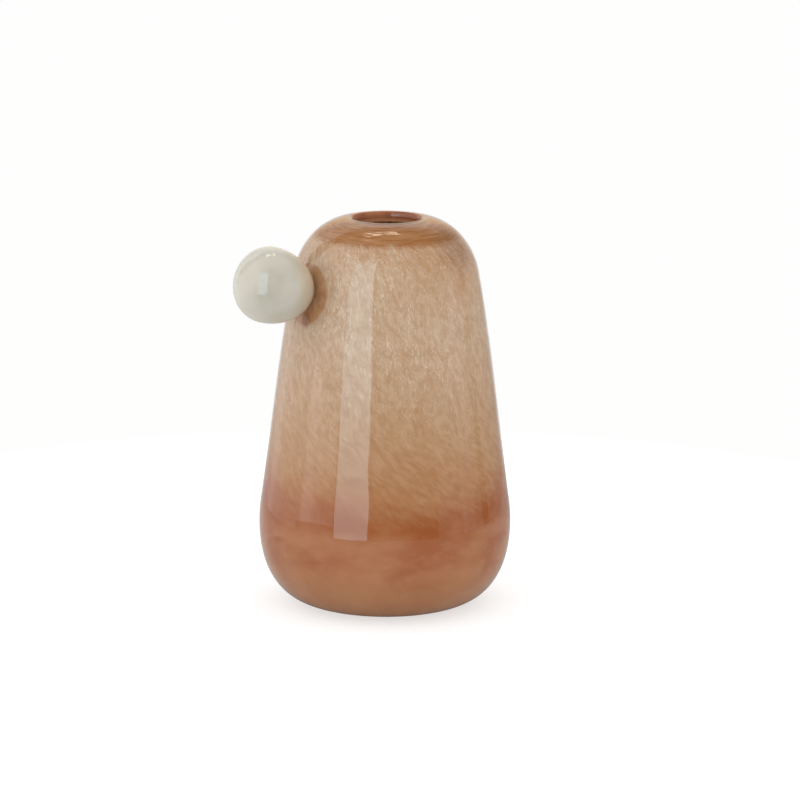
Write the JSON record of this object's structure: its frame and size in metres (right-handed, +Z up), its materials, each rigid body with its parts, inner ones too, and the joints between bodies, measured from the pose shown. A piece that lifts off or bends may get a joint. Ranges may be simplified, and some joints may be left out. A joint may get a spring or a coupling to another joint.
{
  "type": "glass bud vase",
  "caption": "Tapering blown-glass bud vase with a round shoulder, small rolled-lip mouth, streaked brown glass under clear casing, and a solid opal glass ball on one shoulder.",
  "frame": {"origin": "centre of the flat ground base, on the body's axis", "axes": "+Z up along the body's axis to the mouth; the ball stands out on the -X side, in the XZ plane, which is the plane of symmetry"},
  "size_m": [0.1517, 0.1296, 0.2],
  "materials": {
    "clear_glass": "clear, fire-polished gloss; ground and polished under the base",
    "streaked_glass": "pale beige frit fibres drawn out in warm brown glass",
    "rust_glass": "cloudy rust brown, glossy inside",
    "opal_glass": "milky warm grey, fire-polished gloss"
  },
  "bodies": {
    "root": {"clear_casing": "clear_glass", "streaked_overlay": "streaked_glass", "rust_core": "rust_glass", "opal_ball": "opal_glass"}
  },
  "joints": []
}
